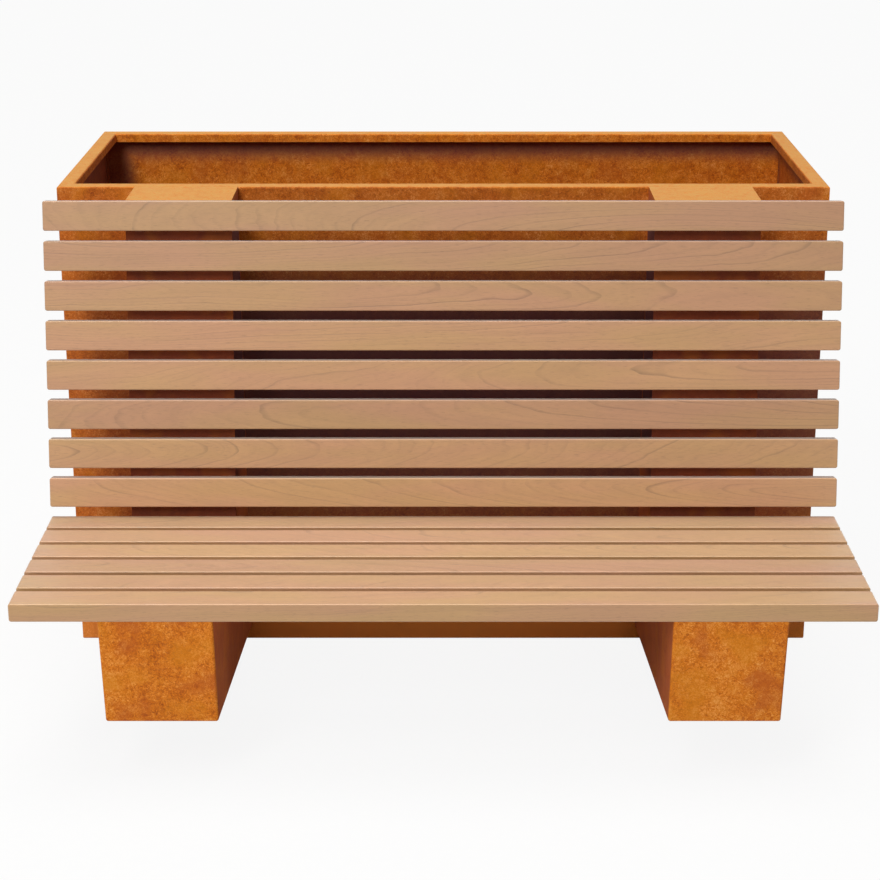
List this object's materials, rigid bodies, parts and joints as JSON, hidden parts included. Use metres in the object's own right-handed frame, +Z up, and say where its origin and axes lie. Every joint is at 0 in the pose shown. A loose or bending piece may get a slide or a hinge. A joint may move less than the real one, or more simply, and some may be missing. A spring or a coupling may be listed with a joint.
{
  "type": "bench with planter",
  "caption": "Slatted wooden bench with a reclined back, carried by two hollow steel brackets on the front wall of a rectangular planter box.",
  "frame": {"origin": "on the ground, in the middle of the overall footprint", "axes": "+X along the bench to the right seen from the sitter's front side, -Y the way a sitter faces, +Z up"},
  "size_m": [1.8, 1.493, 1.1541],
  "materials": {
    "weathering_steel": "matte",
    "slat_wood": "satin",
    "fasteners": "satin",
    "bush_plastic": "matte"
  },
  "bodies": {
    "root": {"back_channel_left": "weathering_steel", "back_channel_right": "weathering_steel", "back_slat_1": "slat_wood", "back_slat_2": "slat_wood", "back_slat_3": "slat_wood", "back_slat_4": "slat_wood", "back_slat_5": "slat_wood", "back_slat_6": "slat_wood", "back_slat_7": "slat_wood", "back_slat_8": "slat_wood", "back_slat_screws": "fasteners", "base_rail_1": "weathering_steel", "base_rail_2": "weathering_steel", "base_rail_3": "weathering_steel", "base_rail_4": "weathering_steel", "base_rail_5": "weathering_steel", "bracket_bolt_washers": "fasteners", "bracket_bolts": "fasteners", "bracket_weld_nuts": "fasteners", "drain_bushes": "bush_plastic", "front_channel_left": "weathering_steel", "front_channel_right": "weathering_steel", "left_arm_front_plate": "weathering_steel", "left_arm_underside_plate": "weathering_steel", "left_bracket_inner_side": "weathering_steel", "left_bracket_outer_side": "weathering_steel", "left_bracket_wall_plate": "weathering_steel", "left_column_cap": "weathering_steel", "left_column_front_plate": "weathering_steel", "left_seat_bearer": "weathering_steel", "planter_back_panel": "weathering_steel", "planter_floor": "weathering_steel", "planter_front_panel": "weathering_steel", "planter_left_panel": "weathering_steel", "planter_right_panel": "weathering_steel", "right_arm_front_plate": "weathering_steel", "right_arm_underside_plate": "weathering_steel", "right_bracket_inner_side": "weathering_steel", "right_bracket_outer_side": "weathering_steel", "right_bracket_wall_plate": "weathering_steel", "right_column_cap": "weathering_steel", "right_column_front_plate": "weathering_steel", "right_seat_bearer": "weathering_steel", "seat_slat_1": "slat_wood", "seat_slat_2": "slat_wood", "seat_slat_3": "slat_wood", "seat_slat_4": "slat_wood", "seat_slat_5": "slat_wood", "seat_slat_6": "slat_wood", "seat_slat_screws": "fasteners", "tie_tube_left": "weathering_steel", "tie_tube_right": "weathering_steel"}
  },
  "joints": []
}
